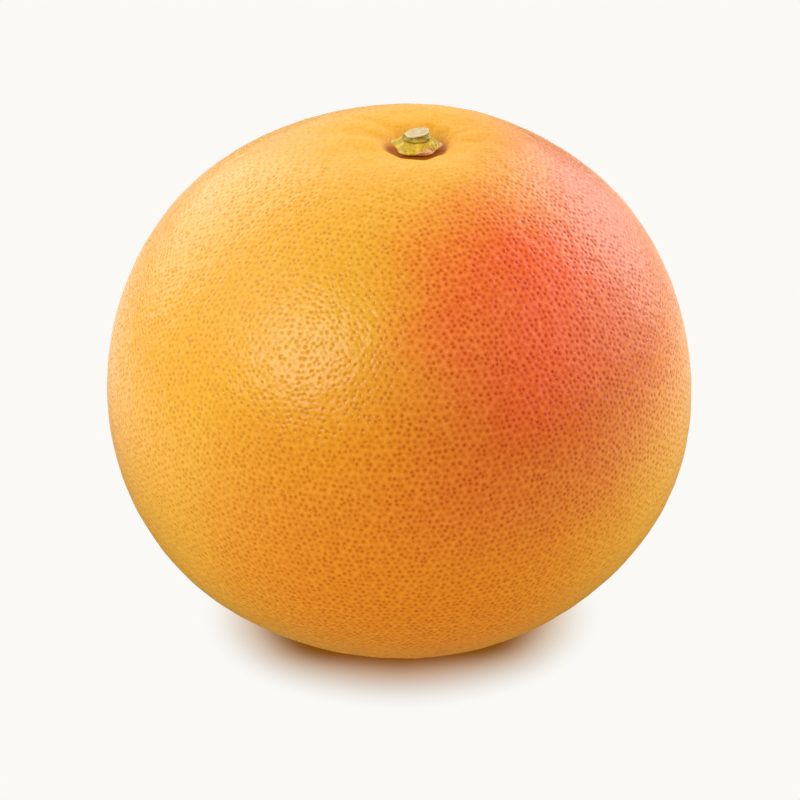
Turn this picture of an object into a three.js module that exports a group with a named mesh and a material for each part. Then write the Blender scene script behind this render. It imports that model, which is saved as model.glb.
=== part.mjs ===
// A whole ripe grapefruit, as picked, standing on its blossom end with its stem button still on.
// Millimetres, +Z up. The origin is the middle of the flat spot that the fruit rests on, and -Y is its front.
// Angles round the fruit are in degrees, anticlockwise seen from above, with 0 at +X and 270 at the front.
import * as THREE from "three";

// Driving dimensions of the fruit
const HALF_WIDTH = 55;
const TOP_REACH = 52.5; // from the widest level up to where the top would be with no hollow
const BOTTOM_REACH = 49.6;
const TOP_FULLNESS = 2.07; // 2 is an ellipse, and more is squarer
const BOTTOM_FULLNESS = 2.1;
const REST_RADIUS = 11; // of the flat spot
const SCAR_RADIUS = 2.6; // of the blossom scar, in the middle of the flat spot
const SCAR_FLOOR_RADIUS = 1;
const SCAR_DEPTH = 0.5;
const EQUATOR_Z = BOTTOM_REACH * (1 - (REST_RADIUS / HALF_WIDTH) ** BOTTOM_FULLNESS) ** (1 / BOTTOM_FULLNESS);

// The stem end: a wide hollow, puckered by furrows, with a small cup in its middle that holds the button
const STEM_X = 3.4; // the stem grows a little right of the middle
const STEM_DRIFT = 14; // how far round the stem the skin is drawn over with it
const HOLLOW_DEPTH = 3.2;
const HOLLOW_RADIUS = 11;
const CUP_DEPTH = 1.5;
const CUP_FLOOR_RADIUS = 4.6;
const CUP_LIP_RADIUS = 8.4;
const SEAT_Z = EQUATOR_Z + TOP_REACH - HOLLOW_DEPTH - CUP_DEPTH;
const FURROW_START = 5.2; // radius where the furrows begin
const FURROW_FULL = 8; // radius where they are deepest
const FURROWS = [
  { angle: 20, depth: 0.4, reach: 15, spread: 9 },
  { angle: 38, depth: 0.55, reach: 12, spread: 10 },
  { angle: 62, depth: 0.35, reach: 9, spread: 9 },
  { angle: 97, depth: 0.5, reach: 10, spread: 13 },
  { angle: 136, depth: 0.4, reach: 10, spread: 10 },
  { angle: 164, depth: 0.7, reach: 14, spread: 13 },
  { angle: 212, depth: 0.4, reach: 9, spread: 11 },
  { angle: 246, depth: 0.25, reach: 7, spread: 11 },
  { angle: 282, depth: 0.2, reach: 7, spread: 10 },
  { angle: 316, depth: 0.3, reach: 8, spread: 12 },
  { angle: 348, depth: 0.45, reach: 11, spread: 9 },
];
const NOTCH_DEPTH = 1.5; // how much lower the hollow's lip is in front
const NOTCH_ANGLE = 275;
const NOTCH_SPREAD = 50;
const NOTCH_REACH = 5; // how far past the cup's lip it fades

// The skin: slow swells, as no fruit is quite round, and pits over the oil glands, shown larger than life
const SWELLS = [
  { across: 1.9, height: 0.42 },
  { across: 3.1, height: 0.3 },
  { across: 4.7, height: 0.2 },
  { across: 7.3, height: 0.14 },
  { across: 9.1, height: 0.1 },
];
const SWELL_ANGLE = 189; // that the first swell faces
const SWELL_PHASE = 5.1; // by which each one is ahead of the one before, in radians
const SWELLS_END = -0.95; // how far down the fruit they have died away, where -1 is its lowest point
const SWELLS_FULL = -0.6; // and where they are still as high as above
const PIT_DEPTH = 0.35;
const PITS_FROM_STEM = 9; // radius round the stem inside which the skin is too tight for pits
const SKIN_STEP = 2.8; // between neighbouring points of the skin
const STEM_END_STEP = 0.9; // the same, at the cup
const STEP_GROWTH = 0.12; // and how much each ring of points adds to it
const SEAT_RINGS = [2.6, CUP_FLOOR_RADIUS]; // radii of the rings of points under the button
const REST_RINGS = [REST_RADIUS, 8, 5.2, SCAR_RADIUS, SCAR_FLOOR_RADIUS]; // and of those on the flat spot

// The button: the green calyx of five sepals, and the stub of the stem that stands on it
const CALYX_RADIUS = 3.6; // between the sepals
const CALYX_THICKNESS = 2.3;
const SEPALS = [
  { angle: 158, reach: 0.95, spread: 27, lift: 0.6 },
  { angle: 232, reach: 0.85, spread: 26, lift: 0.15 },
  { angle: 300, reach: 0.85, spread: 24, lift: 0.1 },
  { angle: 8, reach: 1, spread: 23, lift: 0.3 },
  { angle: 84, reach: 1, spread: 21, lift: 0.35 },
];
const LIFT_FULL = 0.3; // the share of the thickness from which the sepals are up by their lift
const CALYX_TURNS = 60; // points round its rim
// The calyx from under its middle, over the rim and back in over its collar: the share of the radius,
// the share of the thickness, and how much of the sepals' reach and lift is there
const CALYX_SECTION = [
  [0, 0, 0],
  [0.3, 0, 0],
  [0.58, 0, 0],
  [0.74, 0.04, 0.4],
  [0.92, 0.16, 1],
  [1.03, 0.3, 1],
  [1.03, 0.4, 0.85],
  [0.98, 0.52, 0.55],
  [0.92, 0.67, 0.3],
  [0.87, 0.8, 0.1],
  [0.82, 0.93, 0],
  [0.74, 1, 0],
  [0.4, 1, 0],
  [0, 1, 0],
];
const STUB_TILT = 9; // of the cut end, so that it is higher on the right
const STUB_TURNS = 32;
// The stub from its foot up to the cut: radius, height in millimetres, and how much of the tilt is there
const STUB_SECTION = [
  [0, 0, 0],
  [1.2, 0, 0],
  [2.3, 0, 0],
  [2.6, 0.12, 0.1],
  [2.75, 0.36, 0.25],
  [2.66, 0.58, 0.4],
  [2.3, 0.76, 0.55],
  [2, 0.86, 0.7],
  [2.04, 1, 0.85],
  [2.14, 1.16, 1],
  [2.08, 1.32, 1],
  [1.85, 1.42, 1],
  [0.9, 1.44, 1],
  [0, 1.42, 1],
];
const STUB_FLUTES = 7; // low ridges round the stub
const STUB_FLUTE_DEPTH = 0.03; // as a share of its radius

const PEEL_COLOUR = 0xf0a038;
const CALYX_COLOUR = 0xb4b83a;
const STUB_COLOUR = 0xc3c7a6;

const TAU = Math.PI * 2;
const RING_GAP = Math.sqrt(3) / 2; // between rings, for steps of 1 along them
const GOLDEN_SHARE = (Math.sqrt(5) - 1) / 2; // its multiples spread evenly and never repeat
const radians = THREE.MathUtils.degToRad;
const smooth = THREE.MathUtils.smoothstep;

// 1 on the angle itself and falling to 0 away from it, both ways round
function near(turn, angle, spread) {
  const apart = Math.atan2(Math.sin(turn - radians(angle)), Math.cos(turn - radians(angle)));
  return Math.exp(-((apart / radians(spread)) ** 2));
}

// Slow rises and falls of the skin, along a direction from the fruit's middle
function swell(direction) {
  const sum = SWELLS.reduce((total, { across, height }, i) => {
    const lift = 1 - (2 * (i + 0.5)) / SWELLS.length;
    const level = Math.sqrt(1 - lift * lift);
    const facing = radians(SWELL_ANGLE) - i * GOLDEN_SHARE * TAU;
    const axis = new THREE.Vector3(level * Math.cos(facing), level * Math.sin(facing), lift);
    return total + height * Math.sin(across * axis.dot(direction) + i * SWELL_PHASE);
  }, 0);
  return sum * smooth(direction.z, SWELLS_END, SWELLS_FULL);
}

// How far the stem end lies under the round form, at a distance from the stem
function stemEndDrop(distance, turn) {
  const start = smooth(distance, FURROW_START, FURROW_FULL);
  const furrows = FURROWS.reduce((sum, { angle, depth, reach, spread }) => {
    const fade = Math.exp(-((Math.max(distance - FURROW_FULL, 0) / reach) ** 2));
    return sum + depth * start * fade * near(turn, angle, spread);
  }, 0);
  const pastLip = Math.max(distance - CUP_LIP_RADIUS, 0);
  const notch = Math.exp(-((pastLip / NOTCH_REACH) ** 2)) * near(turn, NOTCH_ANGLE, NOTCH_SPREAD);
  const hollow = HOLLOW_DEPTH * Math.exp(-((distance / HOLLOW_RADIUS) ** 2));
  return hollow + furrows + NOTCH_DEPTH * notch;
}

// How far the skin is drawn over to the right with the stem
function stemDrift(distance) {
  return STEM_X * Math.exp(-((Math.max(distance - CUP_LIP_RADIUS, 0) / STEM_DRIFT) ** 2));
}

// A point of the skin. The slope is 0 at the stem and half a turn at the blossom end.
function skinPoint(slope, turn) {
  const out = Math.sin(slope);
  const up = Math.cos(slope);
  const [reach, fullness] = up > 0 ? [TOP_REACH, TOP_FULLNESS] : [BOTTOM_REACH, BOTTOM_FULLNESS];
  const form = ((out / HALF_WIDTH) ** fullness + (Math.abs(up) / reach) ** fullness) ** (-1 / fullness);
  const radius = form + swell(new THREE.Vector3(out * Math.cos(turn), out * Math.sin(turn), up));
  const distance = radius * out;
  let z = EQUATOR_Z + radius * up;
  if (up > 0) {
    const outside = smooth(distance, CUP_FLOOR_RADIUS, CUP_LIP_RADIUS);
    z = THREE.MathUtils.lerp(SEAT_Z, z - stemEndDrop(distance, turn), outside);
  } else if (distance < REST_RADIUS) {
    z = SCAR_DEPTH * (1 - smooth(distance, SCAR_FLOOR_RADIUS, SCAR_RADIUS));
  } else {
    z = Math.max(z, 0);
  }
  const drift = up > 0 ? stemDrift(distance) : 0;
  return new THREE.Vector3(distance * Math.cos(turn) + drift, distance * Math.sin(turn), z);
}

// The slopes of the skin's rings, closer together at the stem end
function ringSlopes() {
  const slopes = [0, ...SEAT_RINGS.map((radius) => Math.asin(radius / TOP_REACH))];
  const restSlopes = REST_RINGS.map((radius) => Math.PI - Math.atan2(radius, EQUATOR_Z));
  const fullGap = (SKIN_STEP * RING_GAP) / HALF_WIDTH;
  let step = STEM_END_STEP;
  while (slopes.at(-1) < restSlopes[0] - 1.5 * fullGap) {
    slopes.push(slopes.at(-1) + (step * RING_GAP) / HALF_WIDTH);
    step = Math.min(SKIN_STEP, step * (1 + STEP_GROWTH));
  }
  return [...slopes, ...restSlopes, Math.PI];
}

// Rings of points from the top down to the bottom, joined into one closed skin.
// The first and last ring hold one point, and every other ring is set half a step round.
function skinOver(rings) {
  const starts = [];
  let count = 0;
  for (const ring of rings) {
    starts.push(count);
    count += ring.length;
  }
  const faces = [];
  for (let r = 0; r + 1 < rings.length; r += 1) {
    const [upper, lower] = [rings[r], rings[r + 1]];
    const upperAt = (i) => starts[r] + (i % upper.length);
    const lowerAt = (j) => starts[r + 1] + (j % lower.length);
    const upperSteps = upper.length > 1 ? upper.length : 0;
    const lowerSteps = lower.length > 1 ? lower.length : 0;
    let [i, j] = [0, 0];
    while (i < upperSteps || j < lowerSteps) {
      const upperTurn = (i + 0.5 + ringShift(r)) / upper.length;
      const lowerTurn = (j + 0.5 + ringShift(r + 1)) / lower.length;
      if (j < lowerSteps && (i >= upperSteps || lowerTurn <= upperTurn)) {
        faces.push(upperAt(i), lowerAt(j), lowerAt(j + 1));
        j += 1;
      } else {
        faces.push(upperAt(i), lowerAt(j), upperAt(i + 1));
        i += 1;
      }
    }
  }
  return { points: rings.flat(), faces };
}

function ringShift(r) {
  return (r % 2) / 2;
}

function ringTurns(r, count) {
  return Array.from({ length: count }, (_, k) => ((k + ringShift(r)) / count) * TAU);
}

// Which points are pits: each one that has no pit beside it, taken in an order that jumps about the skin
function pitsAmong(faces, count) {
  const beside = Array.from({ length: count }, () => new Set());
  for (let f = 0; f < faces.length; f += 3) {
    for (let k = 0; k < 3; k += 1) {
      beside[faces[f + k]].add(faces[f + ((k + 1) % 3)]);
      beside[faces[f + ((k + 1) % 3)]].add(faces[f + k]);
    }
  }
  const order = [...beside.keys()].sort((a, b) => jump(a) - jump(b));
  const isPit = new Array(count).fill(false);
  for (const point of order) {
    isPit[point] = ![...beside[point]].some((other) => isPit[other]);
  }
  return isPit;
}

function jump(k) {
  return (k * GOLDEN_SHARE) % 1;
}

function geometryOf({ points, faces }) {
  const geometry = new THREE.BufferGeometry().setFromPoints(points);
  geometry.setIndex(faces);
  geometry.computeVertexNormals();
  return geometry;
}

function fruitGeometry() {
  const rings = ringSlopes().map((slope, r, all) => {
    if (r === 0 || r === all.length - 1) return [skinPoint(slope, 0)];
    const step = (Math.min(slope - all[r - 1], all[r + 1] - slope) * HALF_WIDTH) / RING_GAP;
    const width = skinPoint(slope, 0).distanceTo(skinPoint(slope, Math.PI));
    return ringTurns(r, Math.round((Math.PI * width) / step)).map((turn) => skinPoint(slope, turn));
  });
  const skin = skinOver(rings);
  const isPit = pitsAmong(skin.faces, skin.points.length);
  const middle = new THREE.Vector3(0, 0, EQUATOR_Z);
  skin.points.forEach((point, k) => {
    const fromStem = Math.hypot(point.x - STEM_X, point.y);
    const nearStem = point.z > EQUATOR_Z && fromStem < PITS_FROM_STEM;
    const nearRest = point.z < EQUATOR_Z && Math.hypot(point.x, point.y) < REST_RADIUS + SKIN_STEP;
    if (!isPit[k] || nearStem || nearRest) return;
    point.addScaledVector(middle.clone().sub(point).normalize(), PIT_DEPTH);
  });
  return geometryOf(skin);
}

function calyxGeometry() {
  const reachAt = (turn) =>
    SEPALS.reduce((sum, { angle, reach, spread }) => sum + reach * near(turn, angle, spread), 0);
  const lift = (turn) =>
    SEPALS.reduce((sum, sepal) => sum + sepal.lift * near(turn, sepal.angle, sepal.spread), 0);
  const rings = [...CALYX_SECTION].reverse().map(([share, height, sepals], r) => {
    const turns = share === 0 ? [0] : ringTurns(r, CALYX_TURNS);
    return turns.map((turn) => {
      const radius = (CALYX_RADIUS + reachAt(turn) * sepals) * share;
      const z = height * CALYX_THICKNESS + lift(turn) * sepals * smooth(height, 0, LIFT_FULL);
      return new THREE.Vector3(radius * Math.cos(turn), radius * Math.sin(turn), z);
    });
  });
  return geometryOf(skinOver(rings));
}

function stubGeometry() {
  const slope = Math.tan(radians(STUB_TILT));
  const rings = [...STUB_SECTION].reverse().map(([radius, height, tilt], r) => {
    const turns = radius === 0 ? [0] : ringTurns(r, STUB_TURNS);
    return turns.map((turn) => {
      const fluted = radius * (1 + STUB_FLUTE_DEPTH * Math.sin(STUB_FLUTES * turn) * tilt);
      const x = fluted * Math.cos(turn);
      return new THREE.Vector3(x, fluted * Math.sin(turn), height + x * slope * tilt);
    });
  });
  return geometryOf(skinOver(rings));
}

function piece(name, geometry, colour, roughness) {
  const mesh = new THREE.Mesh(
    geometry,
    new THREE.MeshStandardMaterial({ color: colour, roughness, metalness: 0 }),
  );
  mesh.name = name;
  return mesh;
}

const fruit = piece("fruit", fruitGeometry(), PEEL_COLOUR, 0.45);

const calyx = piece("calyx", calyxGeometry(), CALYX_COLOUR, 0.6);
calyx.position.set(STEM_X, 0, SEAT_Z);

const stub = piece("stem_stub", stubGeometry(), STUB_COLOUR, 0.8);
stub.position.set(STEM_X, 0, SEAT_Z + CALYX_THICKNESS);

const grapefruit = new THREE.Group();
grapefruit.add(fruit, calyx, stub);

export default grapefruit;
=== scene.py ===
import math

import bmesh
import bpy
import numpy as np
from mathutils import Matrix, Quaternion, Vector, noise


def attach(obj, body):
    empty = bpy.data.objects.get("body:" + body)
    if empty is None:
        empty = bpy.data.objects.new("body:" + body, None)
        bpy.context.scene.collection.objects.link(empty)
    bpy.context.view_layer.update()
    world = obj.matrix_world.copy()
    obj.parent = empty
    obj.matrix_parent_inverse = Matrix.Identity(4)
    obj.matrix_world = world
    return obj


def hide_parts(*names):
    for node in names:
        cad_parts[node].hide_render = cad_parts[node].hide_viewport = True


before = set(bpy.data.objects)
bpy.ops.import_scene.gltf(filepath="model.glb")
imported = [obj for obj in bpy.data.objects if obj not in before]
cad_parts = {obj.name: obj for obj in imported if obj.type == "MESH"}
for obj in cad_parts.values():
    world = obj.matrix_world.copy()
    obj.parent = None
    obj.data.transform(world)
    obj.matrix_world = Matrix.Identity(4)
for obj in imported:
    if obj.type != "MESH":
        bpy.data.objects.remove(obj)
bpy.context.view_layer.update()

MM = 0.001
WELD_REACH = 0.00001

# The fruit's form, as in the part's source
HALF_WIDTH = 55
TOP_REACH = 52.5
BOTTOM_REACH = 49.6
TOP_FULLNESS = 2.07
BOTTOM_FULLNESS = 2.1
REST_RADIUS = 11
SCAR_RADIUS = 2.6
SCAR_FLOOR_RADIUS = 1
SCAR_DEPTH = 0.5
EQUATOR_Z = BOTTOM_REACH * (1 - (REST_RADIUS / HALF_WIDTH) ** BOTTOM_FULLNESS) ** (1 / BOTTOM_FULLNESS)

# The stem end
STEM_X = 3.4
STEM_DRIFT = 14
HOLLOW_DEPTH = 3.2
HOLLOW_RADIUS = 11
CUP_DEPTH = 1.5
CUP_FLOOR_RADIUS = 4.6
CUP_LIP_RADIUS = 8.4
SEAT_Z = EQUATOR_Z + TOP_REACH - HOLLOW_DEPTH - CUP_DEPTH
FURROW_START = 5.2
FURROW_FULL = 8
FURROWS = [
    # angle, depth, reach, spread
    (20, 0.4, 15, 9),
    (38, 0.55, 12, 10),
    (62, 0.35, 9, 9),
    (97, 0.5, 10, 13),
    (136, 0.4, 10, 10),
    (164, 0.7, 14, 13),
    (212, 0.4, 9, 11),
    (246, 0.25, 7, 11),
    (282, 0.2, 7, 10),
    (316, 0.3, 8, 12),
    (348, 0.45, 11, 9),
]
NOTCH_DEPTH = 1.5  # how much lower the hollow's lip is in front
NOTCH_ANGLE = 275
NOTCH_SPREAD = 50
NOTCH_REACH = 5

# The slow swells of the skin: how many radians of wave to the fruit's middle, and height
SWELLS = [(1.9, 0.42), (3.1, 0.3), (4.7, 0.2), (7.3, 0.14), (9.1, 0.1)]
SWELL_ANGLE = 189
SWELL_PHASE = 5.1
SWELLS_END = -0.95
SWELLS_FULL = -0.6
GOLDEN_SHARE = (math.sqrt(5) - 1) / 2

# The oil glands: a pit over each one, on the corners of an even net that is shaken a little
NET_STEPS = 56  # pits along each of the 30 sides of the net's icosahedron
NET_SHAKE = 0.27  # how far each pit is off its place, as a share of the step between them
NET_BEND = 0.45  # how far whole groups of pits are shifted, in the same measure
NET_BEND_SIZE = 0.09  # across such a group, in radians
NET_SEED = 11
STEM_CROWDING = 0.42  # how much closer together the pits are at the stem
STEM_CROWDING_REACH = 0.34  # in radians round the fruit
PIT_DEPTH = 0.12
PIT_WIDTH = 0.5  # from middle to edge, times the pit's size
PIT_SIZES = (0.65, 1.0)
DIMPLE_RADIUS = 0.6
DIMPLE_DEPTH = 0.1
CRINKLES = [(2.6, 0.2), (1.1, 0.1)]  # size and height of the skin's own unevenness, in its material
GRAIN_SIZE = 0.55
GRAIN_HEIGHT = 0.03
COBBLE_SIZE = 3.2  # across the low bumps between groups of pits
COBBLE_HEIGHT = 0.07
WRINKLE_REACH = 17  # from the stem, of the wrinkles round it
WRINKLES = [(2.4, 0.36, 0), (1.1, 0.2, 50)]  # size, height and a shift, so that they don't line up
RELIEF_FULL_RADIUS = 13  # at the stem end, where the pits and bumps are all there
RELIEF_FULL_PAST_REST = 3  # and underneath, from the edge of the flat spot on

# The calyx, measured from the middle of its underside
CALYX_RADIUS = 3.6
CALYX_THICKNESS = 2.3
CALYX_SECTION = [
    # share of the radius, share of the thickness, how much of the sepals is there
    (0, 0, 0),
    (0.3, 0, 0),
    (0.58, 0, 0),
    (0.74, 0.04, 0.4),
    (0.92, 0.16, 1),
    (1.03, 0.3, 1),
    (1.03, 0.4, 0.85),
    (0.98, 0.52, 0.55),
    (0.92, 0.67, 0.3),
    (0.87, 0.8, 0.1),
    (0.82, 0.93, 0),
    (0.74, 1, 0),
    (0.4, 1, 0),
    (0, 1, 0),
]
CALYX_LIFT_FULL = 0.3  # the share of the thickness from which the sepals are up by their lift
CALYX_STEPS = (320, 120)  # all round, and along the section
CALYX_ROUGH_FROM = (0.6, 0.8)  # the share of the radius where its roughness comes in
CALYX_RIBS = 41
CALYX_RIB_DEPTH = 0.03
CALYX_RIB_SWAY = 1.5
CALYX_RIB_SLANT = 2
CRUMPLES = [
    # size, height, how much more where dry, shift
    (1.5, 0.36, 0, 0),
    (0.6, 0.1, 0.2, 9),
    (0.22, 0.03, 0, 20),
]
CRUMPLE_SIDEWAYS = 0.8
CRUMPLE_UPWARDS = 0.5  # and more where dry
CRUMPLE_FROM = (0.05, 0.3)  # the share of the thickness where it comes in
DRY_SPREAD = 1.5  # how much wider than a sepal its dry part is
DRY_FADE = (0.3, 0.75)  # the share of the thickness where dryness falls to its least
DRY_LEAST = 0.35
TIP_FROM = (0.45, 0.95)  # how far a sepal stands out where its pale tip starts and is full
SEPALS = [
    # angle, reach, spread, lift of the tip, dryness
    (158, 0.95, 27, 0.6, 0.1),
    (232, 0.85, 26, 0.15, 0.0),
    (300, 0.85, 24, 0.1, 1.0),
    (8, 1.0, 23, 0.3, 0.7),
    (84, 1.0, 21, 0.35, 0.2),
]

# The stub of stem, measured from the top of the calyx
STUB_TILT = 9
STUB_SECTION = [
    # radius, height, how much of the tilt is there
    (0, 0, 0),
    (1.2, 0, 0),
    (2.3, 0, 0),
    (2.6, 0.12, 0.1),
    (2.75, 0.36, 0.25),
    (2.66, 0.58, 0.4),
    (2.3, 0.76, 0.55),
    (2.0, 0.86, 0.7),
    (2.04, 1.0, 0.85),
    (2.14, 1.16, 1),
    (2.08, 1.32, 1),
    (1.85, 1.42, 1),
    (0.9, 1.44, 1),
    (0, 1.42, 1),
]
STUB_STEPS = (240, 120)
STUB_FLUTES = 7
STUB_FLUTE_DEPTH = 0.03
STUB_BUMPS = [(0.7, 0.08, 0), (0.25, 0.05, 5)]  # size, height, shift
STUB_BUMPS_FULL_HEIGHT = 0.3
STUB_BUMPS_FULL_RADIUS = 1.5  # for what they do sideways
CAP_FROM = (0.72, 0.95)  # how much of the tilt is there where the pale cap starts and is full
CAP_RIM_RADIUS = 2.08
CAP_RIM_WIDTH = 0.13
CAP_RIM_ABOVE = 1.1

# Colours as a shader's own numbers
PEEL_YELLOW = (0.856, 0.415, 0.031, 1)
PEEL_ORANGE = (0.794, 0.236, 0.004, 1)
PEEL_BLUSH = (0.7, 0.12, 0.014, 1)
PEEL_BLUSH_CORE = (0.866, 0.112, 0.026, 1)
# Where they lie: azimuth and elevation of the middle, and how far along that way each starts and is full
ORANGE_LOBE = (4, -12, 0.6, 1.0)
BLUSH_LOBES = [(30, 54, 0.3, 0.89), (91, -30, -0.4, 0.18)]
BLUSH_CORE_LOBE = (27, 40, 0.87, 1.03)
LOBE_DRIFT = 0.15  # how far their edges wander
LOBE_DRIFT_SIZE = 24
# Tints that multiply them, on yellow, orange and blush: of pits, the oil glands' own darker colour with
# painted shade in the pits, and of the net between them, painted sheen
PIT_TINTS_AND_SHADE = [(0.82, 0.68, 0.1, 1), (0.76, 0.49, 0.01, 1), (0.7, 0.27, 0.0, 1)]
# painted sheen on the net between the pits
NET_SHEEN_TINTS = [(1.07, 1.14, 1.5, 1), (1.12, 1.27, 2.2, 1), (1.13, 1.5, 2.0, 1)]
NET_SHEEN_REACH = (0.38, 0.75)  # from a pit's middle, where the net's painted sheen starts and is full
NET_SHEEN_STRENGTHS = (0.3, 1.2)
PIT_STRENGTHS = (0.35, 1.0)  # of the smallest and the largest pits
PIT_STRENGTH_SIZES = (0.6, 1.0)
RELIEF_FADE = (7, 38)  # from the stem, where pits and net are faint and where they are full
RELIEF_BY_STEM = 0.4
SPECKLE_TINT = (0.93, 0.88, 0.8, 1)
SPECKLE_SIZE = 0.28
MOTTLE_TINT = (0.93, 0.92, 0.35, 1)  # olive-yellow, on the hollow
MOTTLE_SIZE = 2.6
MOTTLE_RANGE = (0.4, 0.65)
MOTTLE_FADE = (9, 30)  # from the stem
MOTTLE_SHARE = 0.9
FOOT_SHADE_TINT = (1, 0.8, 0.6, 1)  # painted shade and warm bounced light on the lowest skin, near the table
FOOT_SHADE_FADE = (3, 14)  # heights where the painted shade is full and where it is gone
CLOUD_RANGE = (0.3, 0.7)  # where soft noise goes from one colour to the other
PEEL_ROUGHNESS = 0.21
CUP_ROUGHNESS = 0.65
ROUGHNESS_FADE = (8, 25)  # from the stem, where the skin is rough and where it is glossy

# Colours as they look on a screen, from 0 to 255
CORK_AND_SHADE_SHARE = 0.9  # how much of the browns, corky skin and painted shade, covers the peel's own colour
RAGGED_SIZE = 5  # of what makes their edges uneven
# partly corky skin and partly painted shade in the cup round the stem
CUP_CORK_AND_SHADE = (178, 84, 20)
CUP_CORK_AND_SHADE_FADE = (4.6, 6.4)  # from the stem
CUP_CORK_AND_SHADE_RAGGED = 3
CUP_CORK_AND_SHADE_FRONT = (0.5, 4.5)  # it is full in front of the first level and faint behind the second
CUP_CORK_AND_SHADE_BEHIND = 0.1
# painted shadow: a dark ring on the cup's floor under the calyx's edge
CUP_SHADE_RING = (192, 116, 20)
CUP_SHADE_RING_FADE = (3.6, 5.2)
SCAR_BROWN = (142, 98, 52)
SCAR_BROWN_FADE = (0.8, 2.8)  # from the middle of the flat spot
SCAR_BROWN_RAGGED = 2
CALYX_GREENS = [(190, 157, 5), (230, 200, 48)]
CALYX_MOTTLE_SIZE = 1.6
CALYX_MOTTLE_HEIGHT = 0.12
CALYX_FINE_SIZE = 0.3
CALYX_FINE_HEIGHT = 0.04
CALYX_SPECKS = (150, 140, 30)
CALYX_SPECK_RANGE = (0.45, 0.75)
CALYX_SPECK_SHARE = 0.35
CALYX_PAPERY = [(176, 108, 56), (232, 180, 128)]  # of the dry sepals
CALYX_PAPERY_RANGE = (0.4, 0.6)
CALYX_DRY_FROM = (0.45, 0.85)
CALYX_DRY_UNEVEN = 0.3
CALYX_TIP = (232, 204, 140)
CALYX_ROUGHNESS = 0.5
STUB_OLIVES = [(132, 112, 16), (188, 164, 50)]
STUB_CAPS = [(190, 166, 112), (214, 190, 146)]
STUB_RIM = (240, 230, 200)
STUB_MOTTLE_SIZE = 1.1
STUB_MOTTLE_HEIGHT = 0.08
STUB_FINE_SIZE = 0.25
STUB_FINE_HEIGHT = 0.05
STUB_ROUGHNESS = 0.6
PALE_SHARE = 0.6  # how much the calyx's pale tips and the cap's pale rim cover
PALE = (250, 249, 245)  # the table and the room behind

# The camera, set to the photo's view
CAMERA_ELEVATION = 26
CAMERA_DISTANCE = 632.5
CAMERA_LENS = 149.7
CAMERA_SENSOR = 36
CAMERA_ROLL = 0.36
AIM_BELOW_EQUATOR = 3.1

# Soft boxes round the fruit, where azimuth 0 is the front and 90 the right
SOFT_BOXES = {
    # azimuth, elevation, watts, side, distance from the fruit, seen in the peel
    "key": (-43, 34, 1.78, 0.34, 0.6, True),
    "upper_left": (-74, 40, 0.55, 0.4, 0.6, True),
    "front_low": (10, 12, 1.1, 0.7, 0.8, False),
    "front_right": (50, 35, 1.3, 0.6, 0.8, False),
    "left": (-85, 20, 0.25, 0.6, 0.8, True),
    "right": (85, 20, 1.5, 0.6, 0.8, True),
    "back_left": (-138, 24, 1.4, 0.6, 0.8, True),
    "back_right": (138, 13, 1.5, 0.6, 0.8, True),
    "back_right_wide": (115, 10, 1.0, 0.6, 0.8, True),
    "back_right_high": (125, 35, 1.25, 0.5, 0.8, True),
}
BACKDROP_GLOW = 1.7  # of the pale room behind the fruit
BACKDROP_GLOSS = 1.0  # of the same room as mirrored in the peel
BACKDROP_EDGE = (-0.2, 0.6)  # how far behind, as a share of the way there, the glow starts and is full
FLOOR_REACH = 4000
FLOOR_GLOW = 1.08  # of the table, for soft light
FLOOR_GLOSS = (0.1, 1.1)  # of the table as mirrored in the peel, near the fruit and far off
FLOOR_GLOSS_REACH = (50, 220)
FLOOR_FRONT = (-250, 50)  # the table is mirrored only behind these levels
FLOOR_FADE = (400, 900)  # where its light fades away

# The shadow at the fruit's foot
SHADOW_STARTS = (18, 22.7)  # in front and at the sides: from here the table's own paleness takes over
SHADOW_ENDS = (38.5, 39.5)
SHADOW_SIDEWAYS = 0.7  # how much of a place's distance is sideways, squared, where it is at the sides
SHADOW_TINTS = [(0.36, 0.26, 0.05, 1), (0.72, 0.72, 0.42, 1)]  # close to the fruit and further out
SHADOW_TINT_REACH = 9  # how far from its start the second tint is full


def smooth(value, start, end):
    share = np.clip((value - start) / (end - start), 0, 1)
    return share * share * (3 - 2 * share)


def near(turn, angle, spread):
    """1 on the angle itself and falling to 0 away from it, both ways round."""
    apart = turn - math.radians(angle)
    apart = np.arctan2(np.sin(apart), np.cos(apart))
    return np.exp(-((apart / math.radians(spread)) ** 2))


def swell(directions):
    """Slow rises and falls of the skin, along directions from the fruit's middle."""
    total = 0
    for i, (across, height) in enumerate(SWELLS):
        lift = 1 - 2 * (i + 0.5) / len(SWELLS)
        level = math.sqrt(1 - lift * lift)
        facing = math.radians(SWELL_ANGLE) - i * GOLDEN_SHARE * math.tau
        axis = np.array([level * math.cos(facing), level * math.sin(facing), lift])
        total = total + height * np.sin(across * (directions @ axis) + i * SWELL_PHASE)
    return total * smooth(directions[:, 2], SWELLS_END, SWELLS_FULL)


def stem_end_drop(distance, turn):
    """How far the stem end lies under the round form."""
    drop = HOLLOW_DEPTH * np.exp(-((distance / HOLLOW_RADIUS) ** 2))
    for angle, depth, reach, spread in FURROWS:
        fade = np.exp(-((np.maximum(distance - FURROW_FULL, 0) / reach) ** 2))
        drop += depth * smooth(distance, FURROW_START, FURROW_FULL) * fade * near(turn, angle, spread)
    past_lip = np.maximum(distance - CUP_LIP_RADIUS, 0)
    notch = NOTCH_DEPTH * np.exp(-((past_lip / NOTCH_REACH) ** 2))
    return drop + notch * near(turn, NOTCH_ANGLE, NOTCH_SPREAD)


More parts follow.
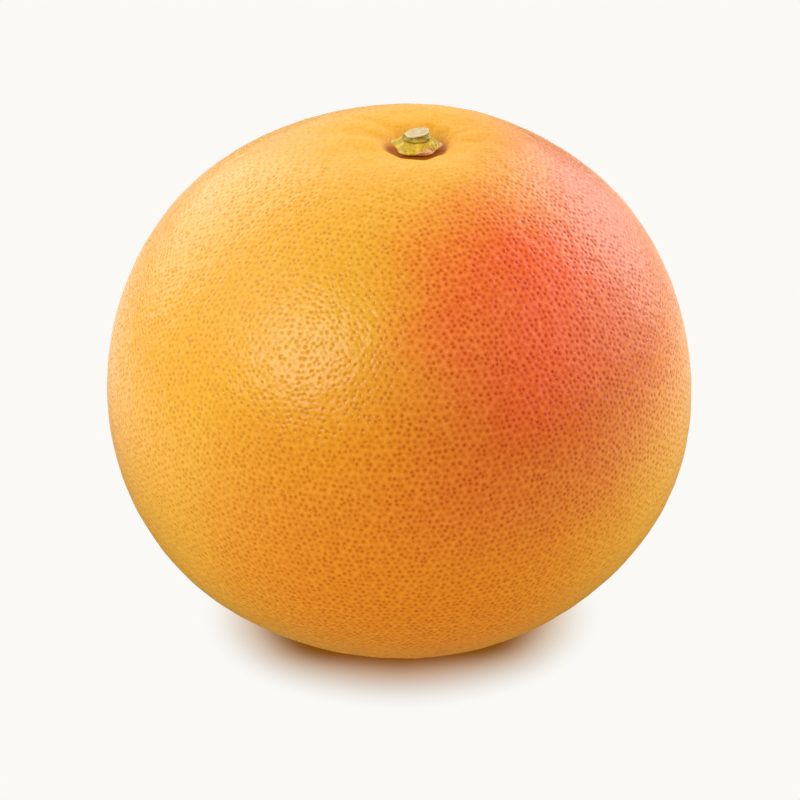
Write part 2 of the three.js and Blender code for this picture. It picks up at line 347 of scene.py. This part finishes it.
def skin(directions):
    """Where directions from the fruit's middle meet its skin, and how far out each place is."""
    turn = np.arctan2(directions[:, 1], directions[:, 0])
    out = np.hypot(directions[:, 0], directions[:, 1])
    up = directions[:, 2]
    top = up > 0
    reach = np.where(top, TOP_REACH, BOTTOM_REACH)
    fullness = np.where(top, TOP_FULLNESS, BOTTOM_FULLNESS)
    form = ((out / HALF_WIDTH) ** fullness + (np.abs(up) / reach) ** fullness) ** (-1 / fullness)
    radius = form + swell(directions)
    distance = radius * out
    z = EQUATOR_Z + radius * up
    outside = smooth(distance, CUP_FLOOR_RADIUS, CUP_LIP_RADIUS)
    stem_end = SEAT_Z + (z - stem_end_drop(distance, turn) - SEAT_Z) * outside
    scar = SCAR_DEPTH * (1 - smooth(distance, SCAR_FLOOR_RADIUS, SCAR_RADIUS))
    foot = np.where(distance < REST_RADIUS, scar, np.maximum(z, 0))
    z = np.where(top, stem_end, foot)
    drift = STEM_X * np.exp(-((np.maximum(distance - CUP_LIP_RADIUS, 0) / STEM_DRIFT) ** 2))
    x = distance * np.cos(turn) + np.where(top, drift, 0)
    return np.column_stack([x, distance * np.sin(turn), z]), distance


def even_net(steps):
    """Directions spread evenly all round, and the triangles between them, on a finely cut icosahedron."""
    golden = (1 + math.sqrt(5)) / 2
    corners = []
    for a in (-1, 1):
        for b in (-golden, golden):
            corners += [(0, a, b), (a, b, 0), (b, 0, a)]
    corners = np.array(corners) / math.hypot(1, golden)
    side = 2 / math.hypot(1, golden)
    grid = [(i, j) for i in range(steps + 1) for j in range(steps + 1 - i)]
    place = {cell: k for k, cell in enumerate(grid)}
    cells = []
    for i, j in grid:
        if i + j < steps:
            cells.append((place[i, j], place[i + 1, j], place[i, j + 1]))
        if i + j < steps - 1:
            cells.append((place[i + 1, j], place[i + 1, j + 1], place[i, j + 1]))
    shares = np.array([(steps - i - j, i, j) for i, j in grid]) / steps
    weights = np.sin(shares * 2 * math.asin(side / 2))
    points, triangles = [], []
    for a in range(12):
        for b in range(a + 1, 12):
            for c in range(b + 1, 12):
                face = corners[[a, b, c]]
                sides = np.linalg.norm(face - np.roll(face, 1, 0), axis=1)
                if sides.max() > side * 1.01:
                    continue
                if np.linalg.det(face) < 0:
                    face = face[::-1]
                triangles.append(np.array(cells) + len(points) * len(grid))
                points.append(weights @ face)
    points = np.concatenate(points)
    points /= np.linalg.norm(points, axis=1)[:, None]
    _, kept, which = np.unique(np.round(points, 6), axis=0, return_index=True, return_inverse=True)
    return points[kept], which.reshape(-1)[np.concatenate(triangles)]


def shaken(directions, rng):
    """The directions, moved a little sideways by chance, each for itself and in groups."""
    step = math.sqrt(4 * math.pi / len(directions) / math.sin(math.pi / 3))
    own = rng.uniform(-1, 1, directions.shape) * NET_SHAKE
    noise.seed_set(NET_SEED)
    shared = np.array([noise.noise_vector(Vector(d / NET_BEND_SIZE)) for d in directions]) * NET_BEND
    moved = directions + (own + shared) * step
    return moved / np.linalg.norm(moved, axis=1)[:, None]


def crowded(directions):
    """The directions drawn in towards the stem."""
    out = np.hypot(directions[:, 0], directions[:, 1])
    slope = np.arctan2(out, directions[:, 2])
    drawn = slope * (1 - STEM_CROWDING * np.exp(-((slope / STEM_CROWDING_REACH) ** 2)))
    level = np.sin(drawn) / np.maximum(out, 1e-9)
    return np.column_stack([directions[:, 0] * level, directions[:, 1] * level, np.cos(drawn)])


def fans(triangles, count):
    """Triangles from each pit to the middles of the net's triangles, which are numbered after the pits."""
    starts = triangles.reshape(-1)
    ends = np.roll(triangles, -1, axis=1).reshape(-1)
    left = np.repeat(np.arange(len(triangles)), 3)
    order = np.argsort(starts * count + ends)
    twin = np.argsort(ends * count + starts)
    right = np.empty_like(left)
    right[order] = left[twin]
    return np.column_stack([starts, count + right, count + left])


def new_mesh(name, points, faces):
    mesh = bpy.data.meshes.new(name)
    mesh.vertices.add(len(points))
    mesh.vertices.foreach_set("co", (points * MM).astype(np.float32).ravel())
    corners = np.array(faces, np.int32)
    mesh.loops.add(corners.size)
    mesh.loops.foreach_set("vertex_index", corners.ravel())
    mesh.polygons.add(len(corners))
    mesh.polygons.foreach_set("loop_start", np.arange(len(corners), dtype=np.int32) * corners.shape[1])
    mesh.update(calc_edges=True)
    mesh.validate()
    mesh.polygons.foreach_set("use_smooth", np.ones(len(mesh.polygons), bool))
    return mesh


def weld(mesh):
    """Joins the points that lie in one place, as at the ends of a swept form."""
    form = bmesh.new()
    form.from_mesh(mesh)
    bmesh.ops.remove_doubles(form, verts=form.verts, dist=WELD_REACH * MM)
    form.to_mesh(mesh)
    form.free()


def set_on_faces(mesh, name, kind, values):
    attribute = mesh.attributes.new(name, kind, "FACE")
    field = "vector" if kind == "FLOAT_VECTOR" else "value"
    attribute.data.foreach_set(field, values.astype(np.float32).ravel())


def set_on_points(mesh, name, values):
    attribute = mesh.attributes.new(name, "FLOAT", "POINT")
    attribute.data.foreach_set("value", values.astype(np.float32))


def new_piece(name, mesh, material, node):
    piece = bpy.data.objects.new(name, mesh)
    bpy.context.scene.collection.objects.link(piece)
    mesh.materials.append(material)
    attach(piece, "root")
    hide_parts(node)
    return piece


def wrinkles(points, size, height):
    return np.array([noise.noise(Vector(p / size)) for p in points]) * height


def layered(points, layers):
    """Wrinkles of several sizes together, each with a height and a shift of its own."""
    return sum(wrinkles(points + shift, size, height) for size, height, shift in layers)


def cobbles(points, distance):
    """The low bumps of the skin between groups of pits, with wrinkles round the stem."""
    by_stem = np.exp(-((distance / WRINKLE_REACH) ** 2)) * (points[:, 2] > EQUATOR_Z)
    return wrinkles(points, COBBLE_SIZE, COBBLE_HEIGHT) + layered(points, WRINKLES) * by_stem


def peel_mesh():
    rng = np.random.default_rng(NET_SEED)
    net, triangles = even_net(NET_STEPS)
    net = crowded(shaken(net, rng))
    middles = net[triangles].mean(axis=1)
    middles /= np.linalg.norm(middles, axis=1)[:, None]
    directions = np.concatenate([net, middles])
    points, distance = skin(directions)
    above = smooth(distance, CUP_FLOOR_RADIUS, RELIEF_FULL_RADIUS)
    below = smooth(distance, REST_RADIUS, REST_RADIUS + RELIEF_FULL_PAST_REST)
    relief = np.where(directions[:, 2] > 0, above, below)
    inward = np.array([0, 0, EQUATOR_Z]) - points
    inward /= np.linalg.norm(inward, axis=1)[:, None]
    size = rng.uniform(*PIT_SIZES, len(net))
    depth = np.zeros(len(points))
    depth[: len(net)] = PIT_DEPTH * size
    depth -= cobbles(points, distance)
    points = points + inward * (depth * relief)[:, None]
    faces = fans(triangles, len(net))
    mesh = new_mesh("peel", points, faces)
    pit = faces[:, 0]
    set_on_faces(mesh, "pit_centre", "FLOAT_VECTOR", points[pit] * MM)
    set_on_faces(mesh, "pit_size", "FLOAT", size[pit])
    return mesh


def turned_grid(rings, around):
    """Square faces between rings of points, each ring joined to the next."""
    ring, step = np.meshgrid(np.arange(rings - 1), np.arange(around), indexing="ij")
    after = (step + 1) % around
    low, high = ring * around, (ring + 1) * around
    return np.stack([low + step, low + after, high + after, high + step], -1).reshape(-1, 4)


def along_section(section, steps):
    """The section's columns at even steps, on smooth curves through its corners."""
    corners = np.array(section, float)
    before = np.concatenate([corners[:1], corners[:-1]])
    after = np.concatenate([corners[1:], corners[-1:]])
    beyond = np.concatenate([corners[2:], corners[-1:], corners[-1:]])
    place = np.linspace(0, len(corners) - 1, steps)
    k = np.minimum(place.astype(int), len(corners) - 2)
    t = (place - k)[:, None]
    start, end = (after - before)[k] / 2, (beyond - corners)[k] / 2
    rise = t * t * (3 - 2 * t)
    curve = corners[k] * (1 - rise) + after[k] * rise
    curve += start * t * (1 - t) ** 2 - end * t * t * (1 - t)
    return curve.T


def swept(section, around, steps):
    """Turns all round for each step of the section, and its columns, flattened into one list each."""
    columns = along_section(section, steps)
    turn = np.tile(np.arange(around) / around * math.tau, steps)
    return [turn] + [np.repeat(column, around) for column in columns]


def calyx_mesh():
    around, steps = CALYX_STEPS
    turn, share, height, sepals = swept(CALYX_SECTION, around, steps)
    reach, lift, dry = np.zeros((3, len(turn)))
    for angle, length, spread, rise, dryness in SEPALS:
        here = near(turn, angle, spread)
        reach += length * here
        lift += rise * here
        dry = np.maximum(dry, dryness * near(turn, angle, spread * DRY_SPREAD))
    outer = smooth(share, *CALYX_ROUGH_FROM)
    radius = (CALYX_RADIUS + reach * sepals) * share
    z = height * CALYX_THICKNESS + lift * sepals * smooth(height, 0, CALYX_LIFT_FULL)
    sway = CALYX_RIB_SWAY * np.sin(turn * len(SEPALS))
    ribs = np.sin(turn * CALYX_RIBS + sway + height * CALYX_RIB_SLANT) * CALYX_RIB_DEPTH * outer
    flat = np.column_stack([radius * np.cos(turn), radius * np.sin(turn), z])
    crumples = [(size, rise + more * dry, shift) for size, rise, more, shift in CRUMPLES]
    crumple = layered(flat, crumples)
    radial = radius + (ribs + crumple * CRUMPLE_SIDEWAYS) * outer
    z += crumple * outer * smooth(height, *CRUMPLE_FROM) * (CRUMPLE_UPWARDS + dry)
    points = np.column_stack([radial * np.cos(turn) + STEM_X, radial * np.sin(turn), z + SEAT_Z])
    mesh = new_mesh("calyx", points, turned_grid(steps, around))
    low = 1 - smooth(height, *DRY_FADE)
    set_on_points(mesh, "dry", dry * (DRY_LEAST + (1 - DRY_LEAST) * low))
    set_on_points(mesh, "tip", smooth(reach * sepals, *TIP_FROM) * outer)
    weld(mesh)
    return mesh


def stub_mesh():
    around, steps = STUB_STEPS
    turn, radius, height, tilt = swept(STUB_SECTION, around, steps)
    radius = radius * (1 + STUB_FLUTE_DEPTH * np.sin(STUB_FLUTES * turn) * tilt)
    x, y = radius * np.cos(turn), radius * np.sin(turn)
    z = height + x * math.tan(math.radians(STUB_TILT)) * tilt
    points = np.column_stack([x, y, z])
    bumps = layered(points, STUB_BUMPS) * smooth(height, 0, STUB_BUMPS_FULL_HEIGHT)
    points[:, 2] += bumps
    points[:, 0] += bumps * np.cos(turn) * smooth(radius, 0, STUB_BUMPS_FULL_RADIUS)
    points += np.array([STEM_X, 0, SEAT_Z + CALYX_THICKNESS])
    mesh = new_mesh("stem_stub", points, turned_grid(steps, around))
    from_rim = (radius - CAP_RIM_RADIUS) / CAP_RIM_WIDTH
    set_on_points(mesh, "cap", smooth(tilt, *CAP_FROM))
    set_on_points(mesh, "rim", np.exp(-(from_rim**2)) * (height > CAP_RIM_ABOVE))
    weld(mesh)
    return mesh


class Paint:
    """The nodes of one material or world. Each call adds a node and gives its output."""

    def __init__(self, owner):
        owner.use_nodes = True
        self.owner = owner
        self.tree = owner.node_tree
        self.tree.nodes.clear()

    def node(self, kind, inputs=None, output=0, **settings):
        added = self.tree.nodes.new("ShaderNode" + kind)
        for name, value in settings.items():
            setattr(added, name, value)
        for key, value in (inputs or {}).items():
            if isinstance(value, bpy.types.NodeSocket):
                self.tree.links.new(value, added.inputs[key])
            else:
                added.inputs[key].default_value = value
        return added.outputs[output] if len(added.outputs) else None

    def sum(self, a, b):
        return self.node("Math", {0: a, 1: b}, operation="ADD")

    def product(self, a, b):
        return self.node("Math", {0: a, 1: b}, operation="MULTIPLY")

    def ramp(self, value, start, end, low=0.0, high=1.0):
        """Low up to where the value is start, then smoothly up or down to high where it is end."""
        inputs = {0: value, 1: start, 2: end, 3: low, 4: high}
        return self.node("MapRange", inputs, interpolation_type="SMOOTHSTEP")

    def either(self, share, low, high):
        """Low where the share is 0 and high where it is 1."""
        return self.node("MapRange", {0: share, 3: low, 4: high})

    def blend(self, share, a, b, how="MIX"):
        inputs = {0: share, 6: a, 7: b}
        return self.node("Mix", inputs, output=2, data_type="RGBA", blend_type=how)

    def vector(self, how, *vectors):
        return self.node("VectorMath", dict(enumerate(vectors)), output="Vector", operation=how)

    def measure(self, how, *vectors):
        """A number worked out from vectors, such as their distance."""
        return self.node("VectorMath", dict(enumerate(vectors)), output="Value", operation=how)

    def place(self):
        return self.node("TexCoord", output="Object")

    def level(self, place, axis):
        return self.node("SeparateXYZ", {0: place}, output=axis)

    def ray(self, kind):
        """1 for what the camera or a mirror sees, and 0 for the rest."""
        return self.node("LightPath", output=kind)

    def stored(self, name, output="Fac"):
        return self.node("Attribute", output=output, attribute_name=name)

    def cloud(self, place, size, detail=3.0):
        """Soft noise with blotches of a size in millimetres, from about 0 to 1."""
        inputs = {"Vector": place, "Scale": 1 / (size * MM), "Detail": detail}
        return self.node("TexNoise", inputs, output="Fac")

    def drift(self, place, size):
        """The same noise, up and down from 0."""
        return self.node("Math", {0: self.cloud(place, size), 1: 0.5}, operation="SUBTRACT")

    def finish(self, colour, roughness, height, **settings):
        """Ends the material with a bump of a height in metres."""
        bumped = self.node("Bump", {"Strength": 1.0, "Distance": 1.0, "Height": height})
        inputs = {"Base Color": colour, "Roughness": roughness, "Normal": bumped}
        inputs.update({name.replace("_", " "): value for name, value in settings.items()})
        shader = self.node("BsdfPrincipled", inputs)
        self.node("OutputMaterial", {"Surface": shader})
        return self.owner


def metres(values):
    return [value * MM for value in values]


def tint(colour):
    """A colour as it looks on a screen, from 0 to 255, as a shader's numbers."""
    return tuple(linear(c / 255) for c in colour) + (1.0,)


def linear(share):
    return share / 12.92 if share <= 0.04045 else ((share + 0.055) / 1.055) ** 2.4


def peel_zones(paint, place):
    """A function that puts four values on the yellow, the orange, the blush and the blush's core."""
    facing = paint.vector("NORMALIZE", paint.vector("SUBTRACT", place, (0, 0, EQUATOR_Z * MM)))
    drift = paint.product(paint.drift(place, LOBE_DRIFT_SIZE), LOBE_DRIFT)

    def lobe(azimuth, elevation, start, end):
        along = paint.measure("DOT_PRODUCT", facing, direction_at(azimuth, elevation))
        return paint.ramp(paint.sum(along, drift), start, end)

    shares = [
        lobe(*ORANGE_LOBE),
        paint.product(*[lobe(*each) for each in BLUSH_LOBES]),
        lobe(*BLUSH_CORE_LOBE),
    ]

    def zoned(mixed, *others):
        for share, other in zip(shares, others):
            mixed = paint.blend(share, mixed, other)
        return mixed

    return zoned


def peel_material():
    paint = Paint(bpy.data.materials.new("peel"))
    place = paint.place()
    by_stem = paint.measure("DISTANCE", place, metres((STEM_X, 0, SEAT_Z)))
    zoned = peel_zones(paint, place)
    colour = zoned(PEEL_YELLOW, PEEL_ORANGE, PEEL_BLUSH, PEEL_BLUSH_CORE)

    # A darker, richer spot over each oil gland, partly its own colour and partly painted shade in the pit,
    # in a net made paler by painted sheen
    size = paint.stored("pit_size")
    apart = paint.measure("DISTANCE", place, paint.stored("pit_centre", output="Vector"))
    share = paint.node("Math", {0: apart, 1: paint.product(size, PIT_WIDTH * MM)}, operation="DIVIDE")
    from_stem = paint.ramp(by_stem, *metres(RELIEF_FADE), RELIEF_BY_STEM, 1.0)
    strength = paint.product(paint.ramp(size, *PIT_STRENGTH_SIZES, *PIT_STRENGTHS), from_stem)
    # painted shade in each pit, together with the gland's own darker colour
    pit_colour_and_shade = paint.product(paint.ramp(share, 0.0, 1.0, 1.0, 0.0), strength)
    grain = paint.cloud(place, GRAIN_SIZE, 2.0)
    speckle = paint.ramp(paint.cloud(place, SPECKLE_SIZE, 1.0), *CLOUD_RANGE)
    grainy = paint.ramp(grain, *CLOUD_RANGE, *NET_SHEEN_STRENGTHS)
    # painted sheen: the net between the pits made paler and bluer, as where it catches the light
    net_sheen = paint.product(paint.ramp(apart, *metres(NET_SHEEN_REACH)), grainy)
    net_sheen = paint.product(net_sheen, from_stem)
    colour = paint.blend(speckle, colour, SPECKLE_TINT, how="MULTIPLY")
    colour = paint.blend(pit_colour_and_shade, colour, zoned(*PIT_TINTS_AND_SHADE, PIT_TINTS_AND_SHADE[-1]), how="MULTIPLY")
    colour = paint.blend(net_sheen, colour, zoned(*NET_SHEEN_TINTS, NET_SHEEN_TINTS[-1]), how="MULTIPLY")

    # Olive-yellow mottling on the hollow, and brown in the cup round the stem, partly corky skin and
    # partly painted shade, with a painted shadow ring under the calyx
    mottle = paint.ramp(paint.cloud(place, MOTTLE_SIZE), *MOTTLE_RANGE)
    mottle = paint.product(mottle, paint.ramp(by_stem, *metres(MOTTLE_FADE), MOTTLE_SHARE, 0.0))
    colour = paint.blend(mottle, colour, MOTTLE_TINT, how="MULTIPLY")
    drift = paint.drift(place, RAGGED_SIZE)
    ragged = paint.sum(by_stem, paint.product(drift, CUP_CORK_AND_SHADE_RAGGED * MM))
    in_front = paint.ramp(paint.level(place, "Y"), *metres(CUP_CORK_AND_SHADE_FRONT), 1.0, CUP_CORK_AND_SHADE_BEHIND)
    # painted shade in the cup, with its corky brown: full in front, faint behind
    cup_cork_and_shade = paint.product(paint.ramp(ragged, *metres(CUP_CORK_AND_SHADE_FADE), CORK_AND_SHADE_SHARE, 0.0), in_front)
    colour = paint.blend(cup_cork_and_shade, colour, tint(CUP_CORK_AND_SHADE))
    # painted shadow under the calyx's edge
    ring = paint.ramp(by_stem, *metres(CUP_SHADE_RING_FADE), CORK_AND_SHADE_SHARE, 0.0)
    colour = paint.blend(ring, colour, tint(CUP_SHADE_RING))

    # Painted shade on the lowest skin, near the table, and the small corky scar of the blossom underneath
    low = paint.ramp(paint.level(place, "Z"), *metres(FOOT_SHADE_FADE), 1.0, 0.0)
    colour = paint.blend(low, colour, FOOT_SHADE_TINT, how="MULTIPLY")
    ragged = paint.sum(paint.measure("LENGTH", place), paint.product(drift, SCAR_BROWN_RAGGED * MM))
    scar = paint.ramp(ragged, *metres(SCAR_BROWN_FADE), CORK_AND_SHADE_SHARE, 0.0)
    colour = paint.blend(scar, colour, tint(SCAR_BROWN))

    # A fine dimple in each pit, and the skin's own unevenness
    dimple = paint.ramp(apart, 0.0, DIMPLE_RADIUS * MM, -DIMPLE_DEPTH * MM, 0.0)
    height = paint.product(dimple, strength)
    for crinkle_size, crinkle_height in CRINKLES:
        crinkle = paint.product(paint.cloud(place, crinkle_size, 1.0), crinkle_height * MM)
        height = paint.sum(height, crinkle)
    height = paint.sum(height, paint.product(grain, GRAIN_HEIGHT * MM))
    return paint.finish(
        colour,
        paint.ramp(by_stem, *metres(ROUGHNESS_FADE), CUP_ROUGHNESS, PEEL_ROUGHNESS),
        height,
        Specular_IOR_Level=0.33,
        Subsurface_Weight=0.05,
        Subsurface_Radius=(1.0, 0.35, 0.1),
        Subsurface_Scale=0.002,
    )


def calyx_material():
    paint = Paint(bpy.data.materials.new("calyx"))
    place = paint.place()
    mottle = paint.cloud(place, CALYX_MOTTLE_SIZE)
    fine = paint.cloud(place, CALYX_FINE_SIZE)
    colour = paint.blend(paint.ramp(mottle, *CLOUD_RANGE), *map(tint, CALYX_GREENS))
    specks = paint.ramp(fine, *CALYX_SPECK_RANGE, 0.0, CALYX_SPECK_SHARE)
    colour = paint.blend(specks, colour, tint(CALYX_SPECKS))
    papery = paint.blend(paint.ramp(fine, *CALYX_PAPERY_RANGE), *map(tint, CALYX_PAPERY))
    dryness = paint.sum(paint.stored("dry"), paint.product(mottle, CALYX_DRY_UNEVEN))
    colour = paint.blend(paint.ramp(dryness, *CALYX_DRY_FROM), colour, papery)
    colour = paint.blend(paint.product(paint.stored("tip"), PALE_SHARE), colour, tint(CALYX_TIP))
    height = paint.sum(
        paint.product(mottle, CALYX_MOTTLE_HEIGHT * MM),
        paint.product(fine, CALYX_FINE_HEIGHT * MM),
    )
    return paint.finish(
        colour,
        CALYX_ROUGHNESS,
        height,
        Subsurface_Weight=0.05,
        Subsurface_Radius=(1.0, 1.0, 0.3),
        Subsurface_Scale=0.001,
    )


def stub_material():
    paint = Paint(bpy.data.materials.new("stem"))
    place = paint.place()
    mottle = paint.cloud(place, STUB_MOTTLE_SIZE)
    fine = paint.cloud(place, STUB_FINE_SIZE)
    mottled = paint.ramp(mottle, *CLOUD_RANGE)
    olive = paint.blend(mottled, *map(tint, STUB_OLIVES))
    cap = paint.blend(mottled, *map(tint, STUB_CAPS))
    colour = paint.blend(paint.stored("cap"), olive, cap)
    colour = paint.blend(paint.product(paint.stored("rim"), PALE_SHARE), colour, tint(STUB_RIM))
    height = paint.sum(
        paint.product(mottle, STUB_MOTTLE_HEIGHT * MM),
        paint.product(fine, STUB_FINE_HEIGHT * MM),
    )
    return paint.finish(colour, STUB_ROUGHNESS, height)


def floor_material():
    """Pale by itself, as the table in the photo is, but for the shadow at the fruit's foot."""
    paint = Paint(bpy.data.materials.new("floor"))
    place = paint.place()
    out = paint.measure("LENGTH", place)
    seen = paint.ray("Is Camera Ray")

    behind = paint.ramp(paint.level(place, "Y"), *metres(FLOOR_FRONT))
    gloss = paint.product(paint.ramp(out, *metres(FLOOR_GLOSS_REACH), *FLOOR_GLOSS), behind)
    glow = paint.either(paint.ray("Is Glossy Ray"), FLOOR_GLOW, gloss)
    glow = paint.product(glow, paint.ramp(out, *metres(FLOOR_FADE), 1.0, 0.0))
    glow = paint.either(seen, glow, 1.0)
    bright = paint.node("Emission", {"Color": tint(PALE), "Strength": glow})

    sideways = paint.node("Math", {0: paint.level(place, "X"), 1: out}, operation="DIVIDE")
    sideways = paint.product(sideways, sideways)
    start = paint.ramp(sideways, 0.0, SHADOW_SIDEWAYS, *metres(SHADOW_STARTS))
    end = paint.ramp(sideways, 0.0, SHADOW_SIDEWAYS, *metres(SHADOW_ENDS))
    further = paint.ramp(out, start, paint.sum(start, SHADOW_TINT_REACH * MM))
    shaded = paint.node("BsdfDiffuse", {"Color": paint.blend(further, *SHADOW_TINTS)})
    shadow = paint.product(seen, paint.ramp(out, start, end, 1.0, 0.0))
    surface = paint.node("MixShader", {0: shadow, 1: bright, 2: shaded})
    paint.node("OutputMaterial", {"Surface": surface})
    paint.owner.cycles.emission_sampling = "NONE"
    return paint.owner


def add_floor():
    corners = np.array([[-1, -1, 0], [1, -1, 0], [1, 1, 0], [-1, 1, 0]]) * FLOOR_REACH
    mesh = new_mesh("floor", corners, [[0, 1, 2, 3]])
    mesh.materials.append(floor_material())
    floor = bpy.data.objects.new("floor", mesh)
    bpy.context.scene.collection.objects.link(floor)


def set_world():
    """A pale room that glows behind the fruit and is dark in front of it, but looks pale all round."""
    paint = Paint(bpy.data.worlds.new("room"))
    behind = paint.measure("DOT_PRODUCT", paint.node("TexCoord", output="Generated"), (0, 1, 0))
    strength = paint.either(paint.ray("Is Glossy Ray"), BACKDROP_GLOW, BACKDROP_GLOSS)
    glow = paint.ramp(behind, *BACKDROP_EDGE, 0.0, strength)
    glow = paint.either(paint.ray("Is Camera Ray"), glow, 1.0)
    background = paint.node("Background", {"Color": tint(PALE), "Strength": glow})
    paint.node("OutputWorld", {"Surface": background})
    bpy.context.scene.world = paint.owner


def direction_at(azimuth, elevation):
    """From the fruit outwards, with azimuth 0 at the front and 90 on the right."""
    around, rise = math.radians(azimuth), math.radians(elevation)
    return Vector((math.sin(around) * math.cos(rise), -math.cos(around) * math.cos(rise), math.sin(rise)))


def add_camera():
    lens = bpy.data.cameras.new("camera")
    lens.lens = CAMERA_LENS
    lens.sensor_width = CAMERA_SENSOR
    camera = bpy.data.objects.new("camera", lens)
    away = direction_at(0, CAMERA_ELEVATION)
    camera.location = Vector((0, 0, EQUATOR_Z - AIM_BELOW_EQUATOR)) * MM + away * CAMERA_DISTANCE * MM
    roll = Quaternion(away, math.radians(-CAMERA_ROLL))
    camera.rotation_mode = "QUATERNION"
    camera.rotation_quaternion = roll @ away.to_track_quat("Z", "Y")
    bpy.context.scene.collection.objects.link(camera)
    bpy.context.scene.camera = camera


def add_soft_box(name, azimuth, elevation, watts, side, distance, mirrored, lit):
    lamp = bpy.data.lights.new(name, "AREA")
    lamp.energy = watts
    lamp.size = side
    light = bpy.data.objects.new(name, lamp)
    away = direction_at(azimuth, elevation)
    light.location = Vector((0, 0, EQUATOR_Z * MM)) + away * distance
    light.rotation_euler = away.to_track_quat("Z", "Y").to_euler()
    bpy.context.scene.collection.objects.link(light)
    light.visible_glossy = mirrored
    light.light_linking.receiver_collection = lit


def collect(name, *objects):
    group = bpy.data.collections.new(name)
    for item in objects:
        group.objects.link(item)
    return group


peel = new_piece("peel", peel_mesh(), peel_material(), "fruit")
calyx = new_piece("calyx", calyx_mesh(), calyx_material(), "calyx")
stub = new_piece("stem_stub", stub_mesh(), stub_material(), "stem_stub")

add_floor()
add_camera()
set_world()
fruit_only = collect("fruit_only", peel, calyx, stub)
for name, values in SOFT_BOXES.items():
    add_soft_box(name, *values, fruit_only)
bpy.context.scene.view_settings.view_transform = "Standard"
